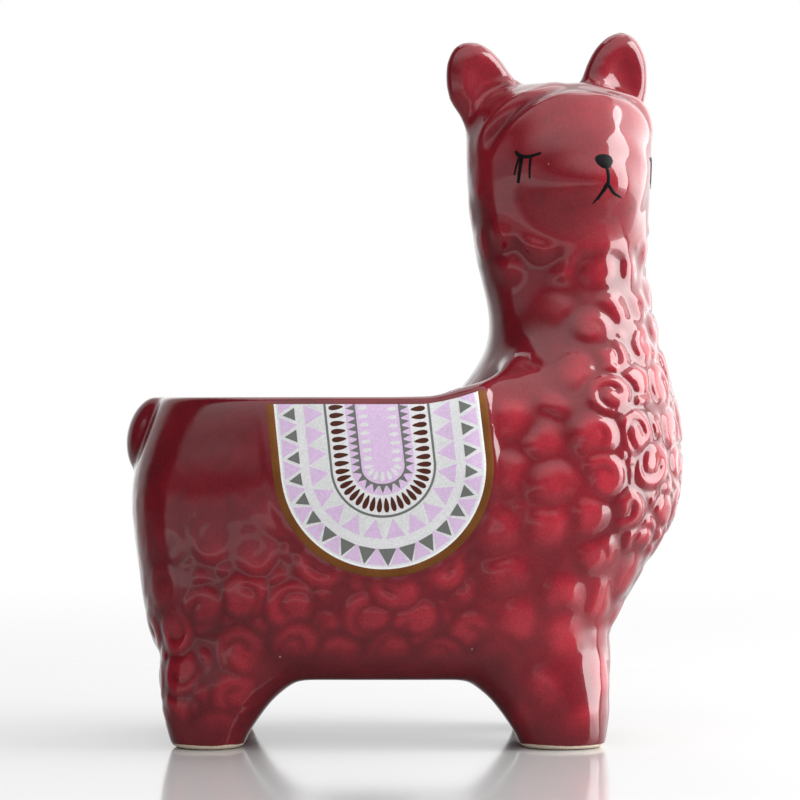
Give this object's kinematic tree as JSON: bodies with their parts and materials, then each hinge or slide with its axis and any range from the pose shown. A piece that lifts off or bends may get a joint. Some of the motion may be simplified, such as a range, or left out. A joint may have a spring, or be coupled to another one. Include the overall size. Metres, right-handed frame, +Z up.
{
  "type": "animal shaped planter",
  "caption": "Glazed ceramic plant pot shaped as a standing llama, with an open planting well in its back, a turned head, printed saddle blankets and a pull-out drain plug.",
  "frame": {"origin": "centre of the bounding box on the plane the four feet stand on", "axes": "+X the way the animal walks, +Y to its left, +Z up"},
  "size_m": [0.1226, 0.0728, 0.1567],
  "materials": {
    "glaze": "glossy translucent crimson glaze over white earthenware, bare clay under the feet",
    "blanket_print": "overglaze transfer print, satin gloss",
    "gold_lustre": "fired gold lustre",
    "black_enamel": "brushed overglaze enamel",
    "plug_rubber": "matt soft rubber"
  },
  "bodies": {
    "pot": {"pot_body": "glaze", "neck_and_head": "glaze", "ear_right": "glaze", "ear_left": "glaze", "tail": "glaze", "blanket_right": "blanket_print", "blanket_left": "blanket_print", "blanket_edge_right": "gold_lustre", "blanket_edge_left": "gold_lustre", "lashes_right": "black_enamel", "lashes_left": "black_enamel", "nose": "black_enamel", "mouth": "black_enamel"},
    "plug": {"drain_plug": "plug_rubber"}
  },
  "joints": [
    {"name": "plug_pull", "type": "slide", "parent": "pot", "child": "plug", "axis": [0, 0, -1], "range_m": [0, 0.012]}
  ]
}
